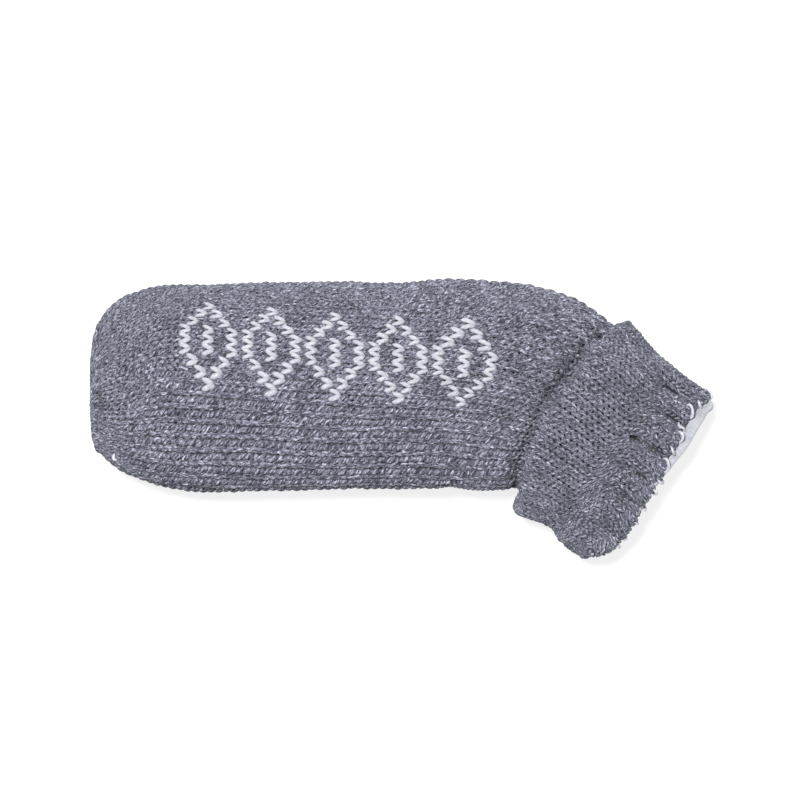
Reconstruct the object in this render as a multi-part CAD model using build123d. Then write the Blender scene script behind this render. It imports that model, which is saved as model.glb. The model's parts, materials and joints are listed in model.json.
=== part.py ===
from build123d import *

import os
from math import cos, hypot, pi, radians, sin

# Knitted putter head cover: a lined pouch that is closed at the toe, and a neck whose cuff is turned back
# over it. Millimetres. The cover lies on its side: +X runs along the pouch from the toe to the neck, +Z is
# up, and the origin is the centre of the whole cover's box, on the ground.
# The neck leaves the pouch at an elbow and swings there about a vertical axis. So the elbow is nested
# surfaces of revolution about that axis: the pouch's drum outside, the neck's visor inside it.

# --- pouch ---
POUCH_HALF_WIDTH = 36.0
POUCH_HALF_HEIGHT = 20.0
POUCH_AXIS_Z = 18.6  # less than the half height, so the underside is a flat strip on the ground
POUCH_LENGTH = 142.8  # from the tip of the toe to the elbow's axis
KNIT_WALL = 2.8
TOE_WIDTH_RUN = 36.0  # how far from the tip the width reaches its full size
TOE_WIDTH_POWER = 2.2
TOE_HEIGHT_RUN = 46.0
TOE_HEIGHT_POWER = 2.1
TOE_STATIONS = (1.4, 3.2, 6.5, 11.5, 19.0, 31.0, 46.0)
TIP_HALF_HEIGHT = 2.0
TIP_HALF_WIDTH = 8.0
TIP_Z = 12.0
SEAM_RADIUS = 1.5
SEAM_LENGTH = 34.0

# --- elbow ---
ELBOW_X = 35.44
ELBOW_Y = 12.46
NECK_ANGLE = -31.0  # the neck's direction at rest, in degrees from +X
SWING_MIN = -25.0
SWING_MAX = 31.0
ELBOW_GAP = 0.4  # between the drum and the visor
VISOR_WALL = 2.0
VISOR_HUB_RADIUS = 18.0  # the visor is open inside this radius
WINDOW_HALF_ANGLE = 56.0
WINDOW_RADIUS = 23.5  # inside this radius the drum is whole

# --- lining ---
LINING_WALL = 1.4
LINING_GAP = 0.4
LINING_END = 15.0  # the pouch's lining stops this far short of the elbow's axis
HEM_WALL = 2.0
HEM_START = 54.0  # along the neck, where the lining's plain tube turns into its hem
HEM_END = 65.2

# --- neck and cuff, by stations along the neck's own axis ---
# (distance from the elbow's axis, half width, half height, sideways shift, height of the centre)
SLEEVE = (
    (14.0, 26.0, 11.0, 0.0, 18.6),
    (24.0, 27.3, 11.2, 0.0, 18.5),
    (32.0, 30.4, 11.2, 1.0, 17.6),
    (45.0, 31.2, 10.9, 0.8, 16.0),
    (60.0, 32.0, 10.4, 0.7, 13.9),
)
CUFF = (
    (27.4, 38.3, 15.4, 2.8, 18.8),
    (33.0, 37.5, 15.1, 2.7, 18.0),
    (40.0, 36.1, 14.8, 2.3, 17.0),
    (47.0, 36.1, 14.4, 1.0, 15.9),
    (54.0, 35.8, 14.0, 0.1, 14.6),
    (60.0, 34.9, 13.7, 0.7, 13.6),
)
SLEEVE_WALL = 2.2
SLEEVE_GAP = 0.3  # between the sleeve and the lining
FOLD_LENGTH = 3.6  # the rounded fold at the mouth, past the last station
FOLD_TAPER = 1.6
CAST_ON_X = 26.6
CAST_ON_RADIUS = 1.9

# --- knitted motif: hollow diamonds in a slanting row, each with a small one in the middle ---
MOTIF_COUNT = 5
MOTIF_START_X = -63.6
MOTIF_PITCH = 22.2
MOTIF_START_Y = 24.0
MOTIF_SLOPE = -0.070
DIAMOND_HALF_WIDTH = 9.6
DIAMOND_HALF_HEIGHT = 16.6
DIAMOND_OPEN = 0.62  # size of the diamond's opening, as a share of the diamond
DIAMOND_CORE = 0.26
MOTIF_DEPTH = 1.4

# --- sewing thread ---
STITCH_RADIUS = 0.45
STITCH_LENGTH = 3.0
STITCH_COUNT = 26
TACK_RADIUS = 0.6
TACK_LENGTH = 2.6
TACK_DISTANCE = 8.7  # from the tip, on the toe's edge
TACK_ANGLE = -45.0

# --- sizes of cutting tools, past everything that they cut ---
FAR = 400.0
SECTOR_RADIUS = 90.0
SECTOR_STEPS = 8
OVERRUN = 5.6

TIP_X = ELBOW_X - POUCH_LENGTH


def oval(half_width, half_height, x, y, z):
    """An upright ellipse across the X axis, centred at x, y, z."""
    across = Plane(origin=(x, y, z), x_dir=(0, 1, 0), z_dir=(1, 0, 0))
    return across * Ellipse(half_width, half_height)


def above_ground(shape):
    return shape & Box(FAR, FAR, FAR, align=(Align.CENTER, Align.CENTER, Align.MIN))


# --- toe and straight of the pouch ---
def grow(distance, run, power):
    """From 0 at the tip to 1 at run, along a superellipse."""
    left = max(0.0, 1 - distance / run)
    return (1 - left**power) ** (1 / power)


def toe_half_width(distance):
    share = grow(distance, TOE_WIDTH_RUN, TOE_WIDTH_POWER)
    return TIP_HALF_WIDTH + (POUCH_HALF_WIDTH - TIP_HALF_WIDTH) * share


def toe_half_height(distance):
    share = grow(distance, TOE_HEIGHT_RUN, TOE_HEIGHT_POWER)
    return TIP_HALF_HEIGHT + (POUCH_HALF_HEIGHT - TIP_HALF_HEIGHT) * share


def toe_z(distance):
    return TIP_Z + (POUCH_AXIS_Z - TIP_Z) * grow(distance, TOE_HEIGHT_RUN, TOE_HEIGHT_POWER)


def toe_section(distance, inset):
    """The pouch's outline at this distance from the tip, made smaller all round by inset."""
    wide = toe_half_width(distance) - inset
    high = toe_half_height(distance) - inset
    return oval(wide, high, TIP_X + distance, ELBOW_Y, toe_z(distance))


def pouch_solid(inset, end_short=0.0):
    """The toe and the straight of the pouch, up to the elbow's axis or end_short before it."""
    full = TOE_STATIONS[-1]
    toe = loft([toe_section(s + inset, inset) for s in TOE_STATIONS[:-1]] + [toe_section(full, inset)])
    return toe + extrude(toe_section(full, inset), POUCH_LENGTH - full - end_short, dir=(1, 0, 0))


# --- elbow ---
def spheroid(radius, half_height):
    """A solid of revolution about the elbow's axis, with an elliptical outline."""
    outline = EllipticalCenterArc((0, 0), radius, half_height, start_angle=-90, arc_size=180)
    profile = Plane.XZ * make_face(outline + Line(outline @ 1, outline @ 0))
    return Pos(ELBOW_X, ELBOW_Y, POUCH_AXIS_Z) * revolve(profile, Axis.Z)


def beyond_elbow(shape):
    """The half of a shape on the neck's side of the elbow's axis."""
    ahead = Box(FAR, FAR, FAR, align=(Align.MIN, Align.CENTER, Align.CENTER))
    return shape & (Pos(ELBOW_X, ELBOW_Y, 0) * ahead)


def sector(start, end, inner_radius):
    """A tall wedge about the elbow's axis between two angles, in degrees, outside inner_radius."""
    turns = [radians(start + (end - start) * k / SECTOR_STEPS) for k in range(SECTOR_STEPS + 1)]
    rim = [(SECTOR_RADIUS * cos(a), SECTOR_RADIUS * sin(a)) for a in turns]
    wedge = make_face(Polyline((0, 0), *rim, close=True)) - Circle(inner_radius)
    return Pos(ELBOW_X, ELBOW_Y, -SECTOR_RADIUS) * extrude(wedge, 2 * SECTOR_RADIUS)


# --- neck: drawn with the elbow's axis at the origin and the neck along +X ---
def along_neck(shape):
    """Takes a shape drawn that way to its place at rest."""
    return Pos(ELBOW_X, ELBOW_Y, 0) * Rot(0, 0, NECK_ANGLE) * shape


def tube(stations, inset, before=0.0, after=0.0):
    """A solid through the stations made smaller all round, stretched before the first and after the last."""
    first = (stations[0][0] - before, *stations[0][1:])
    last = (stations[-1][0] + after, *stations[-1][1:])
    spaced = [first, *stations[1:-1], last]
    return loft([oval(wide - inset, high - inset, x, y, z) for x, wide, high, y, z in spaced])


def slab(start, end):
    """Everything between two distances along the neck."""
    across = Box(end - start, FAR, FAR, align=(Align.MIN, Align.CENTER, Align.CENTER))
    return Pos(start, 0, 0) * across


def bore(inset):
    """The passage through the neck, from inside the elbow to past the mouth."""
    return tube(SLEEVE, inset, before=OVERRUN, after=OVERRUN)


# --- motif ---
def diamond(share):
    """The motif's diamond at this share of its full size."""
    wide = DIAMOND_HALF_WIDTH * share
    tall = DIAMOND_HALF_HEIGHT * share
    return make_face(Polyline((wide, 0), (0, tall), (-wide, 0), (0, -tall), close=True))


def motif_columns():
    """Upright prisms: a ring and a core for each diamond."""
    ring = extrude(diamond(1.0) - diamond(DIAMOND_OPEN), POUCH_HALF_HEIGHT * 2)
    core = extrude(diamond(DIAMOND_CORE), POUCH_HALF_HEIGHT * 2)
    columns = []
    for k in range(MOTIF_COUNT):
        run = k * MOTIF_PITCH
        place = Pos(MOTIF_START_X + run, MOTIF_START_Y + MOTIF_SLOPE * run, POUCH_AXIS_Z)
        columns += [place * ring, place * core]
    return columns


def thread(radius, length):
    """A short length of thread along Z, with round ends."""
    rod = Cylinder(radius, length)
    for end in (-1, 1):
        rod += Pos(0, 0, end * length / 2) * Sphere(radius)
    return rod


# --- the pouch's pieces ---
outer = above_ground(pouch_solid(0.0) + beyond_elbow(spheroid(POUCH_HALF_WIDTH, POUCH_HALF_HEIGHT)))
drum_width = POUCH_HALF_WIDTH - KNIT_WALL
drum_height = POUCH_HALF_HEIGHT - KNIT_WALL
hollow = pouch_solid(KNIT_WALL) + beyond_elbow(spheroid(drum_width, drum_height))
window_start = NECK_ANGLE + SWING_MIN - WINDOW_HALF_ANGLE
window_end = NECK_ANGLE + SWING_MAX + WINDOW_HALF_ANGLE
knit_pouch = outer - hollow - sector(window_start, window_end, WINDOW_RADIUS)

inlay_floor = pouch_solid(MOTIF_DEPTH)
inlays = [(column & outer) - inlay_floor for column in motif_columns()]
for inlay in inlays:
    knit_pouch -= inlay
motif_yarn = Compound(inlays)

seam_place = Pos(TIP_X + TOE_STATIONS[0], ELBOW_Y, TIP_Z) * Rot(90, 0, 0)
toe_seam = seam_place * thread(SEAM_RADIUS, SEAM_LENGTH) - outer

tack_y = ELBOW_Y - toe_half_width(TACK_DISTANCE)
tack_place = Pos(TIP_X + TACK_DISTANCE, tack_y, toe_z(TACK_DISTANCE)) * Rot(0, 0, TACK_ANGLE)
toe_tack_stitch = tack_place * Rot(0, 90, 0) * thread(TACK_RADIUS, TACK_LENGTH)

lining_inset = KNIT_WALL + LINING_GAP
lining_pouch = pouch_solid(lining_inset, LINING_END) - pouch_solid(lining_inset + LINING_WALL, LINING_END)

# --- the neck's pieces ---
visor_width = drum_width - ELBOW_GAP
visor_height = drum_height - ELBOW_GAP
visor_inside = spheroid(visor_width - VISOR_WALL, visor_height - VISOR_WALL)
visor_start = NECK_ANGLE - 2 * WINDOW_HALF_ANGLE
visor_end = NECK_ANGLE + 2 * WINDOW_HALF_ANGLE
visor = (spheroid(visor_width, visor_height) - visor_inside) & sector(visor_start, visor_end, VISOR_HUB_RADIUS)
sleeve = along_neck(tube(SLEEVE, 0.0)) - visor_inside
knit_neck = visor + sleeve - along_neck(bore(SLEEVE_WALL))

fold_x, fold_wide, fold_high, fold_y, fold_z = CUFF[-1]
fold = loft([
    oval(fold_wide, fold_high, fold_x, fold_y, fold_z),
    oval(fold_wide - FOLD_TAPER / 4, fold_high - FOLD_TAPER / 4, fold_x + FOLD_LENGTH * 0.6, fold_y, fold_z),
    oval(fold_wide - FOLD_TAPER, fold_high - FOLD_TAPER, fold_x + FOLD_LENGTH, fold_y, fold_z),
])
skirt = tube(CUFF, 0.0) - tube(CUFF, KNIT_WALL)
cuff = skirt + fold - bore(SLEEVE_WALL)
turned_cuff = above_ground(along_neck(cuff))

edge_x, edge_wide, edge_high, edge_y, edge_z = CUFF[0]
edge_inset = KNIT_WALL / 2
edge_path = oval(edge_wide - edge_inset, edge_high - edge_inset, CAST_ON_X, edge_y, edge_z).edges()[0]
edge_section = Plane(origin=edge_path @ 0, z_dir=edge_path % 0) * Circle(CAST_ON_RADIUS)
edge_roll = sweep(edge_section, path=edge_path)
cast_on_edge = along_neck(edge_roll & slab(0, edge_x))

sleeve_inset = SLEEVE_WALL + SLEEVE_GAP
lining_tube = bore(sleeve_inset) - bore(sleeve_inset + LINING_WALL)
lining_neck = along_neck(lining_tube & slab(SLEEVE[1][0], HEM_START))
hem_tube = bore(sleeve_inset) - bore(sleeve_inset + HEM_WALL)
lining_hem = along_neck(hem_tube & slab(HEM_START, HEM_END))


def hem_stitch(turn):
    """One stitch from the hem's outside out over the fold, at this angle round the mouth."""
    _, wide, high, y, z = SLEEVE[-1]
    out_y = cos(turn) / wide
    out_z = sin(turn) / high
    size = hypot(out_y, out_z)
    reach = STITCH_LENGTH / 2 - sleeve_inset
    stitch_y = y + wide * cos(turn) + reach * out_y / size
    stitch_z = z + high * sin(turn) + reach * out_z / size
    lie = Plane(origin=(fold_x + FOLD_LENGTH, stitch_y, stitch_z), z_dir=(0, out_y, out_z))
    return along_neck(lie * thread(STITCH_RADIUS, STITCH_LENGTH))


hem_stitches = Compound([hem_stitch(2 * pi * (k + 0.5) / STITCH_COUNT) for k in range(STITCH_COUNT)])

nodes = {
    "knit_pouch": knit_pouch,
    "motif_yarn": motif_yarn,
    "toe_seam": toe_seam,
    "toe_tack_stitch": toe_tack_stitch,
    "lining_pouch": lining_pouch,
    "knit_neck": knit_neck,
    "turned_cuff": turned_cuff,
    "cast_on_edge": cast_on_edge,
    "lining_neck": lining_neck,
    "lining_hem": lining_hem,
    "hem_stitches": hem_stitches,
}
os.makedirs("parts", exist_ok=True)
for name, shape in nodes.items():
    export_step(shape, f"parts/{name}.step")
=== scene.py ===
import json
from math import cos, pi, sin

import bpy
import numpy as np
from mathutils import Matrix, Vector


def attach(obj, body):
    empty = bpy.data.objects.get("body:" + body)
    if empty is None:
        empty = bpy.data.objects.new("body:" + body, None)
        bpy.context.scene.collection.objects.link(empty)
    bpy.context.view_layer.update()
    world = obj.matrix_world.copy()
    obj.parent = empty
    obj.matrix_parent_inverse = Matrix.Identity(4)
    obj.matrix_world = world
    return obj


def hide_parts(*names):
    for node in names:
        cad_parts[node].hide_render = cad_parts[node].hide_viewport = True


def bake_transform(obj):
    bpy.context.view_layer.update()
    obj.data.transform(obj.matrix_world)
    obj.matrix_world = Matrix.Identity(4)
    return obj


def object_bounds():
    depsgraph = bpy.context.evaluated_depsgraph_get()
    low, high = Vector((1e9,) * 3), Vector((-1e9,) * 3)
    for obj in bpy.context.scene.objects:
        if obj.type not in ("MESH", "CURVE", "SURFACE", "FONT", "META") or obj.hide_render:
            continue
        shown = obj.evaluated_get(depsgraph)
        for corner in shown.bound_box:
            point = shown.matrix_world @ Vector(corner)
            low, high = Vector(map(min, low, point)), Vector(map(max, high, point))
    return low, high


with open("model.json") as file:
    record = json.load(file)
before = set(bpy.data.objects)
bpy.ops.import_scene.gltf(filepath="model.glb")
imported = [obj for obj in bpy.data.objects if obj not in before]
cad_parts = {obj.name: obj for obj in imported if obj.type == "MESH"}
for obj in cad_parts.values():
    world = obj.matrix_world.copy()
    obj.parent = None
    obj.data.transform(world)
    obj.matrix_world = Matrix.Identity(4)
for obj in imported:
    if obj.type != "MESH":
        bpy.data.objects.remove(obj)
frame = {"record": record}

# The cover's looks. Each course of the knit is one closed yarn that runs round the tube in loops, laid on a
# grid of points, a Skin, that gives the cloth its shape. Sizes are millimetres until a mesh is made.

cad_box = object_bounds()
MM = 0.001

# ---------------------------------------------------------------- places, from the frame
record = frame["record"]
neck_bend = record["behaviour"]["joints"][0]
ELBOW = np.array(neck_bend["pos_m"]) / MM
mouth_mount = next(m for m in record["mounts"] if m["name"] == "mouth")
NECK = np.array(mouth_mount["axis"])  # the neck's direction at rest
ACROSS = np.array([-NECK[1], NECK[0], 0.0])  # square to it, on the upper side of the bend
BEND = float(np.arctan2(-NECK[1], NECK[0]))
TIP_X = cad_box[0].x / MM
TIP_TO_ELBOW = ELBOW[0] - TIP_X

# ---------------------------------------------------------------- the knit
WALE = 3.73  # from one column of stitches to the next
COURSE = 2.70  # from one row of stitches to the next
CUFF_COURSE = 1.98  # the same in the cuff, which is knitted tighter
YARN = 0.82  # radius
CUFF_YARN = 0.62
FACE = 1.25  # from the skin to the cloth's outline, which runs between the tops and the hollows of the loops
STAND = 1.8  # from the skin to the tops of the loops
WALES = 48
TOE_WALES = 24
LOOP_SAMPLES = 20
YARN_SIDES = 8
COLUMNS = 256  # points round a skin
TWIST_PITCH = 6.5  # length of yarn to one turn of its twist
COURSES_PER_PIECE = 12
# How unevenly it is knitted: the spread of each stitch across in wales, along, in thickness and in height
UNEVEN_ACROSS = 0.034
UNEVEN_ALONG = 0.10
UNEVEN_THICKNESS = 0.05
UNEVEN_HEIGHT = 0.11
# Where the wales run closer together the yarn is squeezed thinner, and a little thicker where they spread.
THINNEST = 0.4
THICKEST = 1.12
SQUEEZE = 1.3

# Half a loop, from the middle of its foot to the middle of its head: across in wales, along in courses
# towards the head, and out from the skin in yarn diameters.
HALF_LOOP = (
    (-0.50, -0.98, -0.66),
    (-0.34, -0.92, -0.58),
    (-0.18, -0.72, -0.22),
    (-0.14, -0.42, 0.28),
    (-0.25, -0.12, 0.46),
    (-0.36, 0.16, 0.40),
    (-0.41, 0.44, 0.06),
    (-0.26, 0.74, -0.48),
    (0.00, 0.80, -0.62),
)

rng = np.random.default_rng(7)


def curve(x, knots):
    """A smooth line through the knots (position, value), level beyond its ends."""
    px, py = np.array(knots, float).T
    slope = np.gradient(py, px)
    slope[0] = slope[-1] = 0.0
    x = np.clip(x, px[0], px[-1])
    i = np.clip(np.searchsorted(px, x) - 1, 0, len(px) - 2)
    gap = px[i + 1] - px[i]
    t = (x - px[i]) / gap
    rise = (2 * t**3 - 3 * t**2 + 1) * py[i] + (3 * t**2 - 2 * t**3) * py[i + 1]
    lean = (t**3 - 2 * t**2 + t) * slope[i] + (t**3 - t**2) * slope[i + 1]
    return rise + gap * lean


def grow(distance, run, power):
    """From 0 to 1 at run, along a superellipse."""
    left = np.clip(1 - distance / run, 0, 1)
    return (1 - left**power) ** (1 / power)


def unit(v):
    return v / np.maximum(np.linalg.norm(v, axis=-1, keepdims=True), 1e-9)


def smooth(x, low, high):
    t = np.clip((x - low) / (high - low), 0, 1)
    return t * t * (3 - 2 * t)


class Skin:
    """A tube of cloth as a grid: rows every millimetre along it, from start, and columns evenly round it."""

    def __init__(self, points, start):
        self.points = points
        self.start = start
        along = np.gradient(points, axis=0)
        round_it = (np.roll(points, -1, 1) - np.roll(points, 1, 1)) / 2
        self.normals = unit(np.cross(round_it, along))
        self.widths = np.linalg.norm(round_it, axis=-1) * points.shape[1]

    def at(self, along, turn):
        """Point, outward normal and girth at distances along and at shares of a turn round."""
        rows, columns = self.points.shape[:2]
        u = np.clip(along - self.start, 0, rows - 1.001)
        v = np.mod(turn, 1.0) * columns
        i = u.astype(int)
        j = v.astype(int) % columns
        k = (j + 1) % columns
        fu = u - i
        fv = v - np.floor(v)

        def mix(grid):
            a, b = (fu[..., None], fv[..., None]) if grid.ndim == 3 else (fu, fv)
            near = grid[i, j] * (1 - b) + grid[i, k] * b
            far = grid[i + 1, j] * (1 - b) + grid[i + 1, k] * b
            return near * (1 - a) + far * a

        return mix(self.points), unit(mix(self.normals)), mix(self.widths)

    def offset(self, distance):
        return self.points + self.normals * distance


def even_round(points):
    """A skin's columns: each row's points spaced evenly round it, from the first."""
    closed = np.concatenate([points, points[:, :1]], axis=1)
    steps = np.linalg.norm(np.diff(closed, axis=1), axis=-1)
    lengths = np.concatenate([np.zeros((len(points), 1)), np.cumsum(steps, axis=1)], axis=1)
    shares = np.arange(COLUMNS) / COLUMNS
    out = np.empty((len(points), COLUMNS, 3))
    for r, row in enumerate(closed):
        for axis in range(3):
            out[r, :, axis] = np.interp(shares * lengths[r, -1], lengths[r], row[:, axis])
    return out


# ---------------------------------------------------------------- meshes
def make_mesh(name, vertices, quads, triangles=(), attributes=()):
    """A smooth mesh object from millimetre points. attributes are (name, values) with three numbers each."""
    mesh = bpy.data.meshes.new(name)
    triangles = np.array(triangles, int).reshape(-1, 3)
    quads = np.array(quads, int).reshape(-1, 4)
    corners = np.concatenate([quads.ravel(), triangles.ravel()])
    sizes = np.concatenate([np.full(len(quads), 4), np.full(len(triangles), 3)])
    mesh.vertices.add(len(vertices))
    mesh.vertices.foreach_set("co", (np.asarray(vertices) * MM).astype(np.float32).ravel())
    mesh.loops.add(len(corners))
    mesh.loops.foreach_set("vertex_index", corners.astype(np.int32))
    mesh.polygons.add(len(sizes))
    mesh.polygons.foreach_set("loop_start", np.concatenate([[0], np.cumsum(sizes)[:-1]]).astype(np.int32))
    mesh.polygons.foreach_set("use_smooth", np.ones(len(sizes), bool))
    mesh.update(calc_edges=True)
    for label, values in attributes:
        layer = mesh.attributes.new(label, "FLOAT_VECTOR", "POINT")
        layer.data.foreach_set("vector", np.asarray(values, np.float32).ravel())
    obj = bpy.data.objects.new(name, mesh)
    bpy.context.scene.collection.objects.link(obj)
    return obj


def used_only(vertices, quads, triangles, attributes):
    """Drops the points that no face uses."""
    used = np.zeros(len(vertices), bool)
    used[quads.ravel()] = True
    used[triangles.ravel()] = True
    index = np.cumsum(used) - 1
    kept = [(label, values[used]) for label, values in attributes]
    return vertices[used], index[quads], index[triangles], kept


def shell(name, outside, inside, cap_start=False):
    """A closed solid between two grids of the same size, open tubes both, joined at their two ends."""
    rows, columns = outside.shape[:2]
    vertices = np.concatenate([outside.reshape(-1, 3), inside.reshape(-1, 3)])
    r = np.arange(rows - 1)[:, None]
    c = np.arange(columns)[None, :]
    d = (c + 1) % columns
    skin = np.stack([r * columns + c, (r + 1) * columns + c, (r + 1) * columns + d, r * columns + d], -1)
    half = rows * columns
    lining = skin[..., ::-1] + half
    c = np.arange(columns)
    d = (c + 1) % columns
    last = (rows - 1) * columns
    first_rim = np.stack([c, d, d + half, c + half], -1)
    last_rim = np.stack([last + d, last + c, last + c + half, last + d + half], -1)
    quads = np.concatenate([skin.reshape(-1, 4), lining.reshape(-1, 4), last_rim])
    triangles = []
    if cap_start:
        for base, turn in ((0, 1), (half, -1)):
            middle = len(vertices)
            vertices = np.concatenate([vertices, vertices[base:base + columns].mean(0)[None]])
            fan = np.stack([np.full(columns, middle), base + c, base + d], -1)
            triangles.append(fan[:, ::turn])
        triangles = np.concatenate(triangles)
    else:
        quads = np.concatenate([quads, first_rim])
    return make_mesh(name, vertices, quads, triangles)


# ---------------------------------------------------------------- yarn
def spline_loop(closed, samples, step):
    """Points on the cubic B-spline of a ring of control points, each turn of which moves on by step."""
    count = len(closed)
    t = np.arange(samples) * count / samples
    i = t.astype(int)
    f = (t - i)[:, None]
    weights = (
        (1 - f) ** 3 / 6,
        (3 * f**3 - 6 * f**2 + 4) / 6,
        (-3 * f**3 + 3 * f**2 + 3 * f + 1) / 6,
        f**3 / 6,
    )
    total = np.zeros((samples, 3))
    for k, weight in enumerate(weights):
        n = i + k - 1
        total += weight * (closed[n % count] + (n // count)[:, None] * step)
    return total


half = np.array(HALF_LOOP)
other_half = half[-2:0:-1] * (-1, 1, 1)
LOOP = spline_loop(np.concatenate([half, other_half]), LOOP_SAMPLES, np.array([1.0, 0, 0]))


def wander(rows, count, size):
    """A small random number for each stitch, given at each sample round each course."""
    values = rng.normal(0, size, (rows, count))
    place = np.arange(count * LOOP_SAMPLES) / LOOP_SAMPLES
    i = place.astype(int)
    f = place - i
    return values[:, i] * (1 - f) + values[:, (i + 1) % count] * f


def yarn_paths(skin, courses, heads, shift, nudge=None, wales=WALES, yarn=YARN):
    """The middle line, outward direction and radius of each course's yarn.
    heads is how far, and which way along the skin, one course's loops reach from the last."""
    rows = len(courses)
    stitch = np.arange(wales)[:, None] + LOOP[None, :, 0]
    across = stitch.ravel()[None] + wander(rows, wales, UNEVEN_ACROSS)
    toward = np.tile(LOOP[:, 1], wales)[None]
    out = np.tile(LOOP[:, 2], wales)[None]
    along = np.asarray(courses)[:, None] + heads * toward + wander(rows, wales, UNEVEN_ALONG)
    turn = across / wales
    turn = turn + shift(along, turn)
    if nudge is not None:
        along, turn = nudge(along, turn)
    point, normal, _ = skin.at(along, turn)
    stitch_width = np.linalg.norm(point - np.roll(point, LOOP_SAMPLES, 1), axis=-1)
    squeezed = np.clip(stitch_width / WALE, THINNEST, THICKEST) ** SQUEEZE
    radius = yarn * squeezed * (1 + wander(rows, wales, UNEVEN_THICKNESS))
    lift = out * 2 * radius + wander(rows, wales, UNEVEN_HEIGHT)
    return point + normal * lift[..., None], normal, radius


def yarn_tubes(path, normal, radius, closed=True):
    """Rings of points round each yarn, with the yarn's own straightened coordinates."""
    if closed:
        tangent = unit(np.roll(path, -1, 1) - np.roll(path, 1, 1))
    else:
        tangent = unit(np.gradient(path, axis=1))
    side = unit(np.cross(tangent, normal))
    up = np.cross(side, tangent)
    length = np.cumsum(np.linalg.norm(np.diff(path, axis=1, prepend=path[:, :1]), axis=-1), axis=1)
    start = rng.uniform(0, 4000, (len(path), 1))
    angle = 2 * pi * np.arange(YARN_SIDES) / YARN_SIDES
    ring = (
        path[:, :, None]
        + up[:, :, None] * (radius[..., None] * np.cos(angle))[..., None]
        + side[:, :, None] * (radius[..., None] * np.sin(angle))[..., None]
    )
    turned = angle[None, None] + (2 * pi * length / TWIST_PITCH)[..., None]
    straight = np.stack([
        np.broadcast_to((length + start)[..., None], turned.shape),
        np.cos(turned),
        np.sin(turned),
    ], -1)
    return ring, straight


def end_fan(sides):
    """The triangles that close a yarn's end."""
    return np.stack([np.zeros(sides - 2, int), np.arange(1, sides - 1), np.arange(2, sides)], -1)


def knit_piece(name, ring, straight, chosen):
    """The chosen stitches of some courses as one mesh, with each run of stitches closed at its ends.
    chosen is a yes or no for each course and stitch."""
    rows, samples, sides = ring.shape[:3]
    r = np.arange(rows)[:, None, None]
    m = np.arange(samples)[None, :, None]
    s = np.arange(sides)[None, None, :]
    here = (r * samples + m) * sides
    after = (r * samples + (m + 1) % samples) * sides
    t = (s + 1) % sides
    quads = np.stack([here + s, here + t, after + t, after + s], -1)
    picked = np.repeat(chosen, LOOP_SAMPLES, axis=1)
    quads = quads[picked].reshape(-1, 4)
    fan = end_fan(sides)
    before = np.roll(picked, 1, 1)
    starts = np.argwhere(picked & ~before)
    ends = np.argwhere(~picked & before)
    caps = [fan[:, ::-1] + (a * samples + b) * sides for a, b in starts]
    caps += [fan + (a * samples + b) * sides for a, b in ends]
    triangles = np.array(caps, int).reshape(-1, 3)
    straight = straight.reshape(-1, 3)
    data = used_only(ring.reshape(-1, 3), quads, triangles, [("yarn", straight)])
    return make_mesh(name, *data)


def loose_yarn(name, lines, normals, radius):
    """Open lengths of yarn with closed ends, all with the same number of points."""
    path = np.array(lines, float)
    normal = np.array(normals, float)
    taper = np.ones(path.shape[1])
    taper[[0, -1]] = 0.45  # the ends are rounded
    taper[[1, -2]] = 0.85
    ring, straight = yarn_tubes(path, normal, np.broadcast_to(radius * taper, path.shape[:2]), closed=False)
    rows, samples, sides = ring.shape[:3]
    r = np.arange(rows)[:, None, None]
    m = np.arange(samples - 1)[None, :, None]
    s = np.arange(sides)[None, None, :]
    here = (r * samples + m) * sides
    t = (s + 1) % sides
    quads = np.stack([here + s, here + t, here + sides + t, here + sides + s], -1).reshape(-1, 4)
    fan = end_fan(sides)
    caps = []
    for a in range(rows):
        caps += [fan[:, ::-1] + a * samples * sides, fan + (a * samples + samples - 1) * sides]
    attributes = [("yarn", straight.reshape(-1, 3))]
    return make_mesh(name, ring.reshape(-1, 3), quads, np.concatenate(caps), attributes)


# ---------------------------------------------------------------- the pouch's shape
BEND_RADIUS = 81.3
BEND_RUN = BEND_RADIUS * np.tan(BEND / 2)
BEND_START = TIP_TO_ELBOW - BEND_RUN
BEND_END = BEND_START + BEND_RADIUS * BEND
MOUTH = 64.0  # the mouth's edge, along the neck from the elbow's axis
KNIT_END = 34.0  # how far along the neck the pouch's knit is made, under the cuff
NECK_SHORT = 9.0  # how far inside the mouth the neck ends
NECK_END = BEND_END + MOUTH - NECK_SHORT - BEND_RUN
TOE_RUN = 46.0  # the toe's shape ends here
TOE_END = 60.0  # and distances on it are measured back from here
TOE_CENTRE = 12.0  # height of the tip's middle
TOE_RISE = 0.367  # how fast that middle rises as the toe fills out
TIP_PUSH = 0.9  # how much further the filled tip stands out
TIP_RUN = 14.0
TIP_HEIGHT = 2.0
TOE_GROWTH = 18.0
TOE_POWER = 2.1  # of the superellipse that it fills out along
POUCH_SQUARENESS = 2.15  # of its section: 2 is an ellipse

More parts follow.
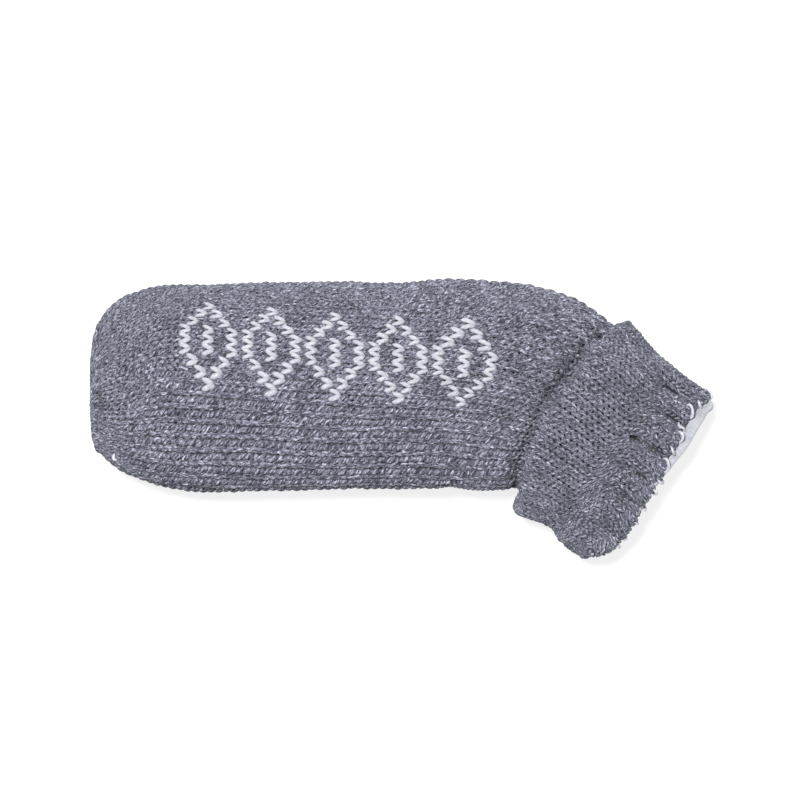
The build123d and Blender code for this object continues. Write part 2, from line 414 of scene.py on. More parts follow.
# The outline of the pouch, and of the neck inside the cuff: each a distance from the tip and a size
UPPER_SIDE = ((46, 35.7), (120, 36.0), (132, 36.9), (143, 39.2), (154, 39.9), (163, 38.1), (180, 34.6),
              (206, 31.5))
LOWER_SIDE = ((46, 36.3), (88, 36.3), (108, 35.4), (128, 35.2), (143, 34.2), (154, 32.0), (165, 29.6),
              (180, 30.0), (196, 32.4), (206, 32.8))
TOP = ((46, 38.6), (120, 38.6), (143, 38.2), (154, 35.6), (160, 33.2), (166, 31.2), (180, 28.8), (206, 23.6))
UNDER = ((46, 0.0), (130, 0.0), (143, 0.0), (154, 2.6), (163, 5.6), (168, 6.6), (180, 6.0), (206, 3.6))
TOE_UPPER = ((0, 5.0), (2.4, 19.0), (5, 25.2), (8, 28.2), (13, 30.9), (19, 32.8), (30, 34.9), (46, 35.7))
TOE_LOWER = ((0, 11.0), (2.4, 21.8), (5, 25.9), (8, 28.4), (13, 31.6), (19, 33.9), (30, 35.9), (46, 36.3))


def centre_line(along):
    """Position and sideways direction of the pouch's middle at distances from the tip."""
    turned = np.clip((along - BEND_START) / BEND_RADIUS, 0, BEND)
    straight = np.minimum(along, BEND_START)
    past = np.maximum(along - BEND_END, 0)
    x = TIP_X + straight + BEND_RADIUS * np.sin(turned) + past * cos(BEND)
    y = ELBOW[1] - BEND_RADIUS * (1 - np.cos(turned)) - past * sin(BEND)
    point = np.stack([x, y, np.zeros_like(x)], -1)
    sideways = np.stack([np.sin(turned), np.cos(turned), np.zeros_like(x)], -1)
    return point, sideways


def toe_width(s, side):
    """Half the toe's width. Close knots near the tip make it blunt."""
    return curve(np.sqrt(s), [(d ** 0.5, width) for d, width in side])


def toe_height(s):
    """Half the toe's height."""
    return TIP_HEIGHT + TOE_GROWTH * grow(s, TOE_RUN, TOE_POWER)


LANDING = 0.5  # how softly the cloth meets the table


def oval(power):
    """Reach and height, -1 to 1, at fine steps round a slightly squared oval."""
    angle = 2 * pi * np.arange(720) / 720
    c, s = np.cos(angle)[None], np.sin(angle)[None]
    return np.sign(c) * np.abs(c) ** (2 / power), np.sign(s) * np.abs(s) ** (2 / power)


def keep_off_table(points):
    """Lifts the skin so that the yarn on it only just reaches the table, where it lands softly."""
    points[..., 2] = STAND + np.logaddexp(0, (points[..., 2] - STAND) / LANDING) * LANDING
    return points


def pouch_skin():
    """The pouch and the neck. Distances from the tip are true past the toe. Over the toe they follow
    its surface, so they start below 0."""
    fine = np.linspace(0, TOE_END, 6001)
    spread = (np.gradient(toe_width(fine, TOE_UPPER)) + np.gradient(toe_height(fine))) / 2
    travel = np.cumsum(np.hypot(np.gradient(fine), spread))
    travel += TOE_END - travel[-1]
    along = np.arange(travel[0], NECK_END, 1.0)
    s = np.where(along < TOE_END, np.interp(along, travel, fine), along)
    high = toe_height(s)
    in_toe = s < TOE_RUN
    upper = np.where(in_toe, toe_width(s, TOE_UPPER), curve(s, UPPER_SIDE))
    lower = np.where(in_toe, toe_width(s, TOE_LOWER), curve(s, LOWER_SIDE))
    low, high_z = curve(s, UNDER), curve(s, TOP)
    middle = np.where(in_toe, TOE_CENTRE + TOE_RISE * (high - TIP_HEIGHT), (low + high_z) / 2)
    top = np.where(in_toe, high, high_z - middle)
    under = np.where(in_toe, high, middle - low)
    point, sideways = centre_line(s - TIP_PUSH * (1 - smooth(s, 0, TIP_RUN)))
    reach, height = oval(POUCH_SQUARENESS)
    out = np.where(reach > 0, upper[:, None], lower[:, None]) * reach
    points = point[:, None] + sideways[:, None] * out[..., None]
    points[..., 2] = middle[:, None] + np.where(height > 0, top[:, None], under[:, None]) * height
    outline = Skin(even_round(points), along[0])
    return Skin(keep_off_table(outline.offset(-FACE)), along[0])


# Slow unevenness of the filled cloth, as waves: size, length along it to a radian, number round it, and phase
RIPPLES = ((0.32, 9.5, 5, 0.0), (0.28, 14.0, -3, 1.3), (0.22, 5.6, 7, 4.0))


def ripples(along, turn):
    """How far the waves lift the cloth."""
    lift = 0.0
    for size, length, count, phase in RIPPLES:
        lift = lift + size * np.sin(along / length + count * turn * 2 * pi + phase)
    return lift


# Where the cuff's free edge lies on the upper face: distance across the neck, and along it
NEAR_EDGE = ((-36, 28.0), (-32, 26.3), (-25, 22.7), (-18, 20.6), (-9, 19.0), (4, 18.3), (14, 19.0),
             (25, 20.4), (32, 21.2), (38, 22.6), (41, 24.4))
PUCKER = 6.03  # from one gather of the cloth at the cuff's edge to the next
PUCKER_AT = 12.5  # where one of them is, across the neck
PUCKER_FROM = (2, 12)  # across the neck, where they begin and where they are full
TUCK = 2.4  # how deep the cuff's edge presses the cloth
TUCK_AT_PUCKER = 2.3  # and how much deeper at a gather
TUCK_PLACE = 1.5  # its deepest line, before the edge
TUCK_WIDTH = 3.1
TUCK_FROM = (120, 140)  # none is nearer to the tip than this


def across_neck(points):
    return (points - ELBOW) @ ACROSS


def along_neck(points):
    return (points - ELBOW) @ NECK


def puckers(sideways):
    """Where the cuff's edge gathers the cloth, 0 to 1."""
    return (0.5 + 0.5 * np.cos(2 * pi * (sideways - PUCKER_AT) / PUCKER)) * smooth(sideways, *PUCKER_FROM)


plain = pouch_skin()
steps = plain.start + np.arange(len(plain.points))
turns = np.arange(COLUMNS) / COLUMNS
# The waves fade where the cloth lies on the table, and at the toe.
settle = ripples(steps[:, None], turns[None]) * smooth(plain.points[..., 2], 2.0, 8.0)
settle *= smooth(steps, 0, 12)[:, None]
# The cuff's edge presses the upper face only, and less towards the outline.
sideways_of = across_neck(plain.points)
before_edge = along_neck(plain.points) - curve(sideways_of, NEAR_EDGE)
gather = np.exp(-((before_edge + TUCK_PLACE) / TUCK_WIDTH) ** 2)
upper_face = smooth(plain.points[..., 2], 13, 22) * (1 - smooth(sideways_of, 31, 36))
tuck = -gather * (TUCK + TUCK_AT_PUCKER * puckers(sideways_of)) * upper_face
tuck *= smooth(steps, *TUCK_FROM)[:, None]
pouch = Skin(plain.offset((settle + tuck)[..., None]), plain.start)

# The drift of the wales, in turns of the tube: how much there is over DRIFT_RUN of length, and where round it
DRIFT = 0.10
DRIFT_RUN = 180.0
DRIFT_MIDDLE = 85.0  # where along the pouch the wales are in their own places
DRIFT_TURN = 0.2
DRIFT_WIDTH = 0.17
DRIFT_FADE = 30.0  # it fades towards the tip over this length
# How far the wales are moved round the tube, by where they are round it
STRETCH = ((0, 0), (0.36, -0.016), (0.485, 0.024), (1, 0))


def spread(along, turn):
    """The pouch's wales drift down across the upper half of the face, towards the neck, and its lower
    side is stretched wider."""
    phase = np.mod(turn, 1.0)
    share = np.exp(-(((phase - DRIFT_TURN) / DRIFT_WIDTH) ** 2))
    drift = DRIFT * (along - DRIFT_MIDDLE) / DRIFT_RUN * share
    return (drift + curve(phase, STRETCH)) * smooth(along, 0, DRIFT_FADE)


# ---------------------------------------------------------------- the cuff's shape
# Its outline, each a distance along the neck from the elbow's axis and a size
CUFF_UPPER = ((20, 41.8), (26, 41.7), (32, 39.8), (39.5, 37.7), (46.7, 36.6), (54, 35.7), (60, 35.6),
              (64, 36.0))
CUFF_LOWER = ((24, 37.0), (28, 36.6), (32, 35.7), (37.7, 34.7), (41, 34.8), (44.8, 36.2), (48.4, 37.3),
              (54, 37.9), (64, 37.4))
CUFF_TOP = ((18, 36.6), (22, 35.6), (26, 34.5), (33, 33.2), (47, 30.3), (64, 27.2))
CUFF_UNDER = ((20, 3.8), (26, 3.4), (33, 2.9), (47, 1.5), (58, 0.2), (64, 0.0))
# Where the fold at the mouth lies, by distance across the neck: its lower corner is round
MOUTH_EDGE = ((-36, 57.5), (-35, 59.4), (-33.5, 61.4), (-31.4, 62.9), (-28.5, 63.8), (-20, 64.2), (0, 64.2),
              (6, 63.7), (11, 62.8), (20, 62.4), (27, 62.2), (31.5, 63.4), (34, 64.9), (36, 64.6))
CUFF_START = 22.0
CUFF_MIDDLE = 44.0  # along the neck, where the free edge's line has died away and the mouth's begins to show
CUFF_END = 62.0  # where the mouth's line is followed in full
EDGE_CURL = 1.7  # radius of the free edge's curl
FOLD = 1.25  # radius of the skin's fold at the mouth
CUFF_RETURN = 7.0  # how far the cloth runs back inside the mouth
# Pleats that run in from the mouth: distance across the neck, depth and width
PLEATS = ((28.6, 6.4, 2.7), (19.0, 5.4, 2.4), (7.5, 5.8, 2.2), (-1.5, 4.8, 2.0), (-12.5, 4.2, 2.1),
          (-25.5, 4.6, 2.5))
PLEAT_START = (38, 50)  # along the neck, where they start and where they are deepest
PLEAT_END = (56, 63)  # where they ease
PLEAT_EASE = 0.36  # how much of their depth is gone at the mouth
EDGE_SCALLOP = 0.7  # how far the free edge dips at each gather
UNDER_EDGE = 25.5  # where the free edge lies on the lower face, along the neck
CUFF_SQUARENESS = 2.2


def pleat_depth(out, distance):
    """How far the pleats drop the cloth, by distance across the neck and along it."""
    depth = np.zeros_like(out)
    for place, most, width in PLEATS:
        depth += most * np.exp(-(((out - place) / width) ** 2))
    return depth * smooth(distance, *PLEAT_START) * (1 - PLEAT_EASE * smooth(distance, *PLEAT_END))


def cuff_points(station, inset, pleated=1.0):
    """Rows of points on the cuff's outline at stations along the neck, sunk in by inset. pleated is how
    much of the pleats' depth they follow."""
    station = np.asarray(station, float)
    reach, height = oval(CUFF_SQUARENESS)
    upper, lower = curve(station, CUFF_UPPER)[:, None], curve(station, CUFF_LOWER)[:, None]
    guess = np.where(reach > 0, upper, lower) * reach
    face = smooth(height, -0.3, 0.4)
    near = (curve(guess, NEAR_EDGE) + EDGE_SCALLOP * puckers(guess) - CUFF_START) * face
    near += (UNDER_EDGE - CUFF_START) * (1 - face)
    far = curve(guess, MOUTH_EDGE) - MOUTH
    place = station[:, None]
    distance = place + near * (1 - smooth(place, CUFF_START, CUFF_MIDDLE))
    distance = distance + far * smooth(place, CUFF_MIDDLE, CUFF_END)
    inset = np.asarray(inset, float)[:, None]
    upper, lower = curve(distance, CUFF_UPPER) - inset, curve(distance, CUFF_LOWER) - inset
    top, under = curve(distance, CUFF_TOP) - inset, curve(distance, CUFF_UNDER) + inset
    middle = (top + under) / 2
    out = np.where(reach > 0, upper, lower) * reach
    points = ELBOW + NECK * distance[..., None] + ACROSS * out[..., None]
    pleats = pleated * pleat_depth(out, distance) * smooth(height, -0.1, 0.6)
    points[..., 2] = middle + (top - under) / 2 * height - pleats
    return keep_off_table(even_round(points))


def cuff_skin():
    """The turned cuff, from its curled free edge out to the mouth, round the fold and back inside."""
    curl_run = pi * EDGE_CURL
    outside_run = MOUTH - FACE - FOLD - CUFF_START - EDGE_CURL
    fold_start = curl_run + outside_run
    fold_run = pi * FOLD
    along = np.arange(0, fold_start + fold_run + CUFF_RETURN, 1.0)
    curled = np.clip(pi - along / EDGE_CURL, 0, pi)
    over = np.clip((along - fold_start) / FOLD, 0, pi)
    station = CUFF_START + EDGE_CURL * (1 - np.sin(curled)) + np.clip(along - curl_run, 0, outside_run)
    station += FOLD * np.sin(over) - np.maximum(along - fold_start - fold_run, 0)
    sunk = EDGE_CURL * (1 - np.cos(curled)) + FOLD * (1 - np.cos(over))
    return along, fold_start, cuff_points(station, FACE + sunk)


CUFF_WAVE = 0.25  # slow unevenness of the cuff
CUFF_WAVES = 9  # round it
CUFF_WAVE_RUN = 9.0  # length along it to a radian
CUFF_WAVE_ABOVE = 5.0  # it lies flat below this height

cuff_along, fold_start, points = cuff_skin()
cuff_plain = Skin(points, 0.0)
wave = CUFF_WAVE * np.sin(CUFF_WAVES * 2 * pi * turns[None] + cuff_along[:, None] / CUFF_WAVE_RUN)
wave *= points[..., 2] > CUFF_WAVE_ABOVE
cuff = Skin(cuff_plain.offset(wave[..., None]), 0.0)

HOLE = ELBOW + 47.7 * NECK + 7.9 * ACROSS  # a slack stitch in the cuff
HOLE_REACH = 2.2  # how far round it the yarn is moved
HOLE_ALONG = 1.3
HOLE_ACROSS = 1.2
HOLE_ABOVE = 20.0  # only the upper face has it


def no_shift(along, turn):
    return 0.0


def open_hole(along, turn):
    """Pushes the yarn round the slack stitch away from it."""
    point, _, girth = cuff.at(along, turn)
    away = point - HOLE
    near = np.exp(-(away[..., 0] ** 2 + away[..., 1] ** 2) / HOLE_REACH**2) * (point[..., 2] > HOLE_ABOVE)
    along = along + near * HOLE_ALONG * np.sign(away @ NECK)
    turn = turn - near * HOLE_ACROSS * np.sign(away @ ACROSS) / girth
    return along, turn


# ---------------------------------------------------------------- the motif: which stitches are white
DIAMOND = ("...X...", "..X.X..", ".X...X.", "X..X..X", "X..X..X", "X..X..X", ".X...X.", "..X.X..", "...X...")
DIAMONDS = 5
DIAMOND_PITCH = 8  # in courses
MOTIF_COURSE = 12  # the motif's first course and wale
MOTIF_WALE = 6

FIRST_COURSE = 1.5  # the toe's own courses, of half as many stitches, come before this
pouch_courses = np.arange(FIRST_COURSE, BEND_END - BEND_RUN + KNIT_END, COURSE)
toe_courses = np.arange(FIRST_COURSE - COURSE, pouch.start, -COURSE)
white = np.zeros((len(pouch_courses), WALES), bool)
for n in range(DIAMONDS):
    for row, stitches in enumerate(DIAMOND):
        for column, mark in enumerate(stitches):
            if mark == "X":
                white[MOTIF_COURSE + n * DIAMOND_PITCH + column, MOTIF_WALE + row] = True


# ---------------------------------------------------------------- materials
def nodes_of(material):
    material.use_nodes = True
    tree = material.node_tree
    return tree, tree.nodes["Principled BSDF"]


def link(tree, a, b):
    tree.links.new(a, b)


def add(tree, kind, **values):
    node = tree.nodes.new(kind)
    for key, value in values.items():
        setattr(node, key, value)
    return node


def ramp_of(tree, factor, stops):
    node = add(tree, "ShaderNodeValToRGB")
    elements = node.color_ramp.elements
    while len(elements) < len(stops):
        elements.new(0.5)
    for element, (position, color) in zip(elements, stops):
        element.position = position
        element.color = (*color, 1)
    link(tree, factor, node.inputs["Fac"])
    return node.outputs["Color"]


def linear(r, g, b):
    """A colour given as seen on a screen, 0 to 255, as the linear light that a shader takes."""
    values = np.array([r, g, b]) / 255
    return tuple(np.where(values <= 0.04045, values / 12.92, ((values + 0.055) / 1.055) ** 2.4))


def stretched(tree, source, scale):
    node = add(tree, "ShaderNodeMapping")
    node.inputs["Scale"].default_value = scale
    link(tree, source, node.inputs["Vector"])
    return node.outputs["Vector"]


def noise(tree, vector, scale, detail=2.0, roughness=0.5):
    node = add(tree, "ShaderNodeTexNoise")
    node.inputs["Scale"].default_value = scale
    node.inputs["Detail"].default_value = detail
    node.inputs["Roughness"].default_value = roughness
    link(tree, vector, node.inputs["Vector"])
    return node.outputs["Fac"]


def calculate(tree, operation, *values):
    node = add(tree, "ShaderNodeMath", operation=operation)
    for socket, value in zip(node.inputs, values):
        if isinstance(value, (int, float)):
            socket.default_value = value
        else:
            link(tree, value, socket)
    return node.outputs[0]


# The yarn's fibres, flecks and relief are noise, drawn out by these scales along the yarn and round it.
FIBRE_SCALE = (0.55, 1.5, 1.5)
FLECK_SCALE = (1.25, 2.2, 2.2)
RELIEF_SCALE = (0.9, 5.0, 5.0)
RELIEF_DEPTH = 0.35
FLECK_SHARE = 0.45  # of the mix, against the fibres
PATCH_SHARE = 0.08
PATCH_SIZE = 9.0  # of the patches where the mix leans to light or dark


def yarn_material(name, stops, bump):
    """Twisted yarn of mixed fibres, which run along the yarn's own straightened coordinates. bump is the
    strength of the fibres' relief."""
    material = bpy.data.materials.new(name)
    tree, shader = nodes_of(material)
    source = add(tree, "ShaderNodeAttribute", attribute_name="yarn").outputs["Vector"]
    fibres = noise(tree, stretched(tree, source, FIBRE_SCALE), 1.0, 3.0, 0.65)
    flecks = noise(tree, stretched(tree, source, FLECK_SCALE), 1.0, 1.0)
    coordinate = add(tree, "ShaderNodeTexCoord").outputs["Object"]
    patches = noise(tree, coordinate, 1 / (PATCH_SIZE * MM), 1.0)
    flecked = calculate(tree, "MULTIPLY", flecks, FLECK_SHARE)
    mixed = calculate(tree, "MULTIPLY_ADD", fibres, 1 - FLECK_SHARE, flecked)
    uneven = calculate(tree, "SUBTRACT", patches, 0.5)
    mixed = calculate(tree, "MULTIPLY_ADD", uneven, PATCH_SHARE, mixed)
    link(tree, ramp_of(tree, mixed, stops), shader.inputs["Base Color"])
    fine = noise(tree, stretched(tree, source, RELIEF_SCALE), 1.0, 2.0)
    relief = add(tree, "ShaderNodeBump")
    relief.inputs["Strength"].default_value = bump
    relief.inputs["Distance"].default_value = RELIEF_DEPTH * MM
    link(tree, fine, relief.inputs["Height"])
    link(tree, relief.outputs["Normal"], shader.inputs["Normal"])
    shader.inputs["Roughness"].default_value = 0.92
    shader.inputs["Specular IOR Level"].default_value = 0.25
    shader.inputs["Sheen Weight"].default_value = 0.1
    shader.inputs["Sheen Roughness"].default_value = 0.55
    return material


# Colours by fibre, each a place in the noise and a colour
HEATHER = (
    (0.37, linear(20, 21, 28)),
    (0.445, linear(62, 63, 74)),
    (0.512, linear(102, 103, 117)),
    (0.58, linear(140, 142, 158)),
    (0.67, linear(206, 208, 222)),
)
grey_yarn = yarn_material("grey_heather_yarn", HEATHER, 0.5)
WHITE_YARN = (
    (0.3, linear(143, 144, 153)),
    (0.5, linear(175, 176, 185)),
    (0.7, linear(201, 201, 209)),
)
white_yarn = yarn_material("white_yarn", WHITE_YARN, 0.5)


NAP_DEPTH = 0.3


def cloth_material(name, stops, weave):
    """Plain cloth with a fine uneven nap. weave is the nap's size."""
    material = bpy.data.materials.new(name)
    tree, shader = nodes_of(material)
    coordinate = add(tree, "ShaderNodeTexCoord").outputs["Object"]
    nap = noise(tree, coordinate, 1 / (weave * MM), 4.0, 0.6)
    link(tree, ramp_of(tree, nap, stops), shader.inputs["Base Color"])
    relief = add(tree, "ShaderNodeBump")
    relief.inputs["Strength"].default_value = 0.5
    relief.inputs["Distance"].default_value = NAP_DEPTH * MM
    link(tree, nap, relief.inputs["Height"])
    link(tree, relief.outputs["Normal"], shader.inputs["Normal"])
    shader.inputs["Roughness"].default_value = 0.95
    shader.inputs["Sheen Weight"].default_value = 0.2
    return material


# The cloth under the knit stands for the backs of the stitches, which are grey yarn. Its near-black colours
# are painted shade, for the gaps between the loops.
SHADED_KNIT_BACK = ((0.3, linear(16, 17, 22)), (0.7, linear(38, 39, 46)))
WHITE_LINING = ((0.3, linear(144, 145, 152)), (0.7, linear(184, 185, 192)))
WHITE_THREAD = (
    (0.3, linear(150, 151, 160)),
    (0.5, linear(190, 191, 200)),
    (0.7, linear(220, 220, 228)),
)
shaded_back_cloth = cloth_material("shaded_knit_back", SHADED_KNIT_BACK, 0.6)
white_thread = yarn_material("white_thread", WHITE_THREAD, 0.3)
white_cloth = cloth_material("white_lining", WHITE_LINING, 0.5)


def finish_piece(obj, material, slot, *replaced):
    obj.data.materials.append(material)
    if replaced:
        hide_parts(*replaced)


def cross_elbow(obj):
    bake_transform(obj)


def layer_under(skin, name, depths, cap_start=False):
    """A layer of cloth between two depths under a skin."""
    outer, inner = depths
    return shell(name, skin.offset(-outer), skin.offset(-inner), cap_start)


# ---------------------------------------------------------------- pieces: the pouch
PLUMP = 0.15  # how much thicker the white yarn is, which is softer
KNIT_BACK_DEPTH = (1.15, 1.75)  # of the cloth that stands for the backs of the stitches, under the skin, dark as painted shade in the gaps between the loops
LINING_DEPTH = (2.6, 3.3)

plump = YARN * (1 + PLUMP * np.repeat(white, LOOP_SAMPLES, axis=1))
ring, straight = yarn_tubes(*yarn_paths(pouch, pouch_courses, -COURSE, spread, yarn=plump))
for first in range(0, len(pouch_courses), COURSES_PER_PIECE):
    rows = slice(first, first + COURSES_PER_PIECE)
    name = f"pouch_knit_{first // COURSES_PER_PIECE + 1}"
    piece = knit_piece(name, ring[rows], straight[rows], ~white[rows])
    finish_piece(piece, grey_yarn, "grey_knit", "knit_pouch", "knit_neck")
    cross_elbow(piece)
motif = knit_piece("motif_stitches", ring, straight, white)
finish_piece(motif, white_yarn, "white_knit", "motif_yarn")
cross_elbow(motif)

ring, straight = yarn_tubes(*yarn_paths(pouch, toe_courses, -COURSE, no_shift, wales=TOE_WALES))
toe = knit_piece("toe_knit", ring, straight, np.ones((len(toe_courses), TOE_WALES), bool))
finish_piece(toe, grey_yarn, "grey_knit", "knit_pouch")
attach(toe, "pouch")

# A dark layer under the pouch's knit, coloured as painted shade in the gaps between the loops.
pouch_back = layer_under(pouch, "pouch_knit_back", KNIT_BACK_DEPTH, cap_start=True)
finish_piece(pouch_back, shaded_back_cloth, "grey_knit", "knit_pouch", "knit_neck")
cross_elbow(pouch_back)

# Overcast loops close the toe. Each swings round the seam, from below it to above, and leans along it.
SEAM_LOOPS = 15
SEAM_HALF_LENGTH = 9.0
SEAM_DROP = 3.0  # from the elbow's axis to the seam's middle, across the pouch
SEAM_YARN = 0.72
SEAM_SWING = 1.9  # in radians, each way
SEAM_INSIDE = 2.0  # from the tip to the middle of the swing
SEAM_OUT = 1.6  # how far the swing reaches outwards
SEAM_UP = 2.9  # and up and down
SEAM_LEAN = 0.45
SEAM_UNEVEN = 0.08
swing = np.linspace(-SEAM_SWING, SEAM_SWING, 13)
seam = []
for place in np.linspace(-SEAM_HALF_LENGTH, SEAM_HALF_LENGTH, SEAM_LOOPS):
    x = TIP_X + SEAM_INSIDE - SEAM_OUT * np.cos(swing)
    y = ELBOW[1] - SEAM_DROP + place + SEAM_LEAN * swing + rng.normal(0, SEAM_UNEVEN)
    z = TOE_CENTRE + SEAM_UP * np.sin(swing)
    seam.append(np.stack([x, y, z], -1))
seam = np.array(seam)
outward = np.broadcast_to(np.array([-1.0, 0, 0]), seam.shape)
toe_seam = loose_yarn("toe_seam_loops", seam, outward, SEAM_YARN)
finish_piece(toe_seam, grey_yarn, "grey_knit", "toe_seam")
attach(toe_seam, "pouch")


FACES_UP = 0.05  # a normal that rises more than this


def face_of(skin, x, y):
    """The point on the skin's upper face, and its normal, that is nearest above a place on the table."""
    gap = np.hypot(skin.points[..., 0] - x, skin.points[..., 1] - y)
    gap[skin.normals[..., 2] < FACES_UP] = np.inf
    i, j = np.unravel_index(np.argmin(gap), gap.shape)
    return skin.points[i, j], skin.normals[i, j]


# A stitch of thread at the toe's lower corner.
TACK_AT = (-97.6, -12.2)
TACK_HALF_LENGTH = 1.3
TACK_THREAD = 0.6
TACK_ACROSS = (0.9, 0.4, 0.0)  # it runs square to this
TACK_RISE = STAND - 0.3  # its middle, above the skin
TACK_DIVE = 1.4  # how much lower its ends are
place, normal = face_of(pouch, *TACK_AT)
run = unit(np.cross(normal, TACK_ACROSS))
bow = np.linspace(-1, 1, 9)
tack = place + normal * (TACK_RISE - TACK_DIVE * bow**2)[:, None] + run * (TACK_HALF_LENGTH * bow)[:, None]
tack = loose_yarn("toe_tack_thread", [tack], [np.broadcast_to(normal, tack.shape)], TACK_THREAD)
finish_piece(tack, white_thread, "white_thread", "toe_tack_stitch")
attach(tack, "pouch")

lining = layer_under(pouch, "lining_cloth", LINING_DEPTH, cap_start=True)
finish_piece(lining, white_cloth, "white_lining", "lining_pouch", "lining_neck")
cross_elbow(lining)

# ---------------------------------------------------------------- pieces: the cuff
CAST_ON_COURSES = 2
cuff_courses = np.arange(1.2, cuff_along[-1] - 2, CUFF_COURSE)
ring, straight = yarn_tubes(*yarn_paths(cuff, cuff_courses, CUFF_COURSE, no_shift, open_hole, yarn=CUFF_YARN))
everywhere = np.ones((len(cuff_courses), WALES), bool)
rows = slice(0, CAST_ON_COURSES)
cast_on = knit_piece("cuff_cast_on", ring[rows], straight[rows], everywhere[rows])
finish_piece(cast_on, grey_yarn, "grey_knit", "cast_on_edge")
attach(cast_on, "cuff")
for first in range(CAST_ON_COURSES, len(cuff_courses), COURSES_PER_PIECE):
    rows = slice(first, first + COURSES_PER_PIECE)
    name = f"cuff_knit_{first // COURSES_PER_PIECE + 1}"
    piece = knit_piece(name, ring[rows], straight[rows], everywhere[rows])
    finish_piece(piece, grey_yarn, "grey_knit", "turned_cuff")
    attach(piece, "cuff")

# A dark layer under the cuff's knit, coloured as painted shade in the gaps between the loops.
cuff_back = layer_under(cuff, "cuff_knit_back", KNIT_BACK_DEPTH)
finish_piece(cuff_back, shaded_back_cloth, "grey_knit", "turned_cuff")
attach(cuff_back, "cuff")

# The lining's hem is a folded band that comes out past the fold. Its section, all round, as distances along
# the neck and depths inside the cuff's outline:
HEM = ((50, 7.6), (55, 6.8), (58, 6.3), (60.5, 5.3), (62.2, 4.0), (63.8, 2.8), (65.1, 2.1),
       (65.7, 2.6), (65.3, 3.9), (63.6, 5.3), (61, 6.9), (58, 8.2), (54, 9.2), (50, 9.6))


def ring_of_rows(name, grid):
    """A closed solid from a grid whose rows and columns both run on round to their starts."""
    rows, columns = grid.shape[:2]
    r = np.arange(rows)[:, None]
    c = np.arange(columns)[None, :]
    below = (r + 1) % rows
    d = (c + 1) % columns
    quads = np.stack([r * columns + c, below * columns + c, below * columns + d, r * columns + d], -1)
    return make_mesh(name, grid.reshape(-1, 3), quads.reshape(-1, 4))


# Where its edge lies, by distance across the neck: straight where it shows, and inside the fold elsewhere
HEM_EDGE = ((-34, 57.4), (-28, 60.4), (-20, 62.2), (0, 63.0), (5, 64.0), (9, 64.6), (27, 65.0),
            (31.5, 64.4), (36, 61.4))
HEM_LEVEL = 64.9  # the edge that the section is drawn for
HEM_SAMPLES = 40
HEM_PLEATED = 0.45
section = np.array(HEM)
section = spline_loop(np.column_stack([section, np.zeros(len(section))]), HEM_SAMPLES, np.zeros(3))
hem = cuff_points(section[:, 0], section[:, 1], pleated=HEM_PLEATED)
hem_out = across_neck(hem)
# cuff_points gives it the fold's edge, and this swaps that for its own.
straighten = (curve(hem_out, HEM_EDGE) - HEM_LEVEL) - (curve(hem_out, MOUTH_EDGE) - MOUTH)
hem = hem + NECK * (straighten * smooth(section[:, 0], 56, 62)[:, None])[..., None]
lining_hem = ring_of_rows("lining_hem_band", hem)
finish_piece(lining_hem, white_cloth, "white_lining", "lining_hem")
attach(lining_hem, "cuff")

# Whip stitches hold the hem to the fold.
HEM_STITCHES = 26
HEM_THREAD = 0.52  # radius
ABOVE_TABLE = 0.3
TUCK_IN = 1.8  # how much further in they are where the hem is hidden
HEM_SHOWS = (-8, 6)  # across the neck, where the hem starts to show and where it shows fully
STRAY = 0.3  # from their even places, in spaces between them
SLANT = (0.002, 0.012)  # how far round each one leans, in turns
START = (-1.5, 0.9)  # where each one starts, past the fold's own start
OVERRUN = 0.4  # how far each one goes on past the fold
reach = np.linspace(0, 1, 13)
stitches = []
outwards = []
for n in range(HEM_STITCHES):
    turn = (n + rng.uniform(-STRAY, STRAY)) / HEM_STITCHES + rng.uniform(*SLANT) * reach
    at_fold = cuff.at(fold_start, turn)[0]
    tucked = TUCK_IN * (1 - smooth(across_neck(at_fold), *HEM_SHOWS))
    length = fold_start + rng.uniform(*START) + tucked + reach * (pi * FOLD + OVERRUN)
    point, normal, _ = cuff.at(length, turn)
    # It starts and ends in the cloth, lies on the loops of the knit and then comes down to the hem.
    rise = STAND * (1.02 - 0.3 * smooth(reach, 0.2, 0.6) - 0.85 * np.abs(2 * reach - 1) ** 5)
    stitch = point + normal * rise[:, None]
    stitch[:, 2] = np.maximum(stitch[:, 2], HEM_THREAD + ABOVE_TABLE)
    stitches.append(stitch)
    outwards.append(normal)
hem_stitches = loose_yarn("hem_whip_stitches", stitches, outwards, HEM_THREAD)
finish_piece(hem_stitches, white_thread, "white_thread", "hem_stitches")
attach(hem_stitches, "cuff")

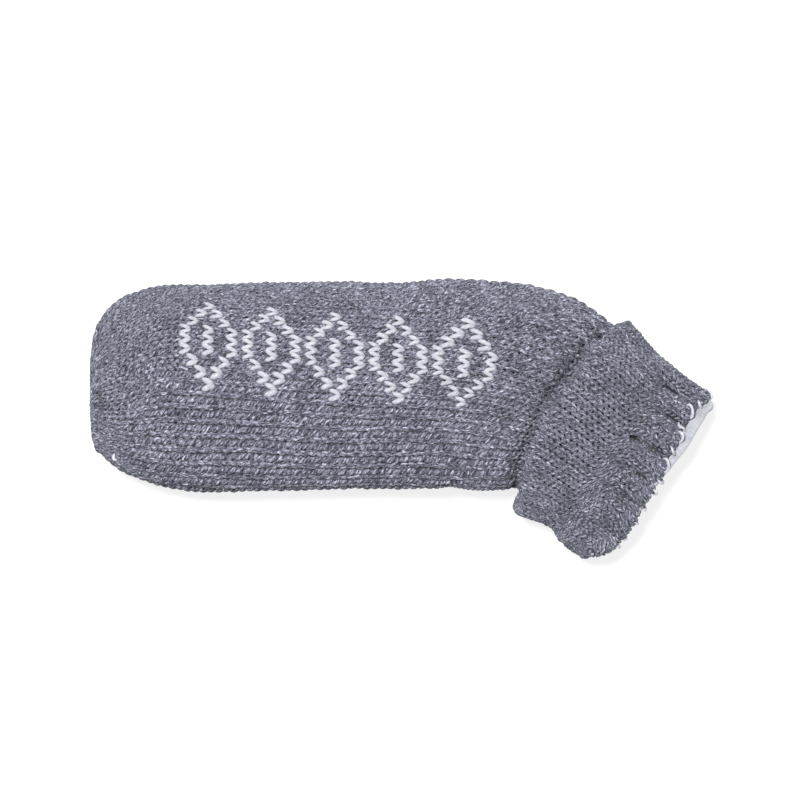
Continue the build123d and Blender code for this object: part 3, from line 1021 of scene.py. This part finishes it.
# ---------------------------------------------------------------- camera, light and floor
FRAME_WIDTH = 276.8  # what the picture's width shows
LENS = 135.0
SENSOR = 36.0
VIEW_CENTRE = (0.1, 7.1, 19.0)

camera = bpy.data.objects.new("camera", bpy.data.cameras.new("camera"))
bpy.context.scene.collection.objects.link(camera)
bpy.context.scene.camera = camera
camera.data.lens = LENS
camera.data.sensor_width = SENSOR
camera.data.clip_end = 10
camera_rise = FRAME_WIDTH * LENS / SENSOR
camera.location = (VIEW_CENTRE[0] * MM, VIEW_CENTRE[1] * MM, (VIEW_CENTRE[2] + camera_rise) * MM)

LIGHTS_AIM = (0, 0, 0.02)  # in metres, as are the lights' places and sizes


def area_light(name, place, size, power):
    light = bpy.data.lights.new(name, "AREA")
    light.shape = "DISK"
    light.size = size
    light.energy = power
    obj = bpy.data.objects.new(name, light)
    bpy.context.scene.collection.objects.link(obj)
    obj.location = place
    direction = np.array(LIGHTS_AIM) - np.array(place)
    obj.rotation_mode = "QUATERNION"
    obj.rotation_quaternion = Vector(direction).to_track_quat("-Z", "Y")


area_light("key", place=(-0.15, 0.22, 1.0), size=0.26, power=16.4)
area_light("fill", place=(0.5, -0.7, 0.9), size=0.9, power=1)

world = bpy.data.worlds.new("studio")
bpy.context.scene.world = world
world.use_nodes = True
sky = world.node_tree.nodes["Background"]
sky.inputs["Color"].default_value = (1.0, 1.0, 1.0, 1)
sky.inputs["Strength"].default_value = 0.25
bpy.context.scene.view_settings.view_transform = "Standard"

FLOOR_REACH = 1500.0
floor_corners = FLOOR_REACH * np.array([[-1, -1, 0], [1, -1, 0], [1, 1, 0], [-1, 1, 0]])
floor = make_mesh("floor", floor_corners, [[0, 1, 2, 3]])
floor_material = bpy.data.materials.new("floor")
paint = nodes_of(floor_material)[1]
paint.inputs["Base Color"].default_value = (0.3, 0.3, 0.3, 1)
paint.inputs["Roughness"].default_value = 0.9
paint.inputs["Emission Color"].default_value = (1.0, 1.0, 1.0, 1)
paint.inputs["Emission Strength"].default_value = 0.78
floor.data.materials.append(floor_material)
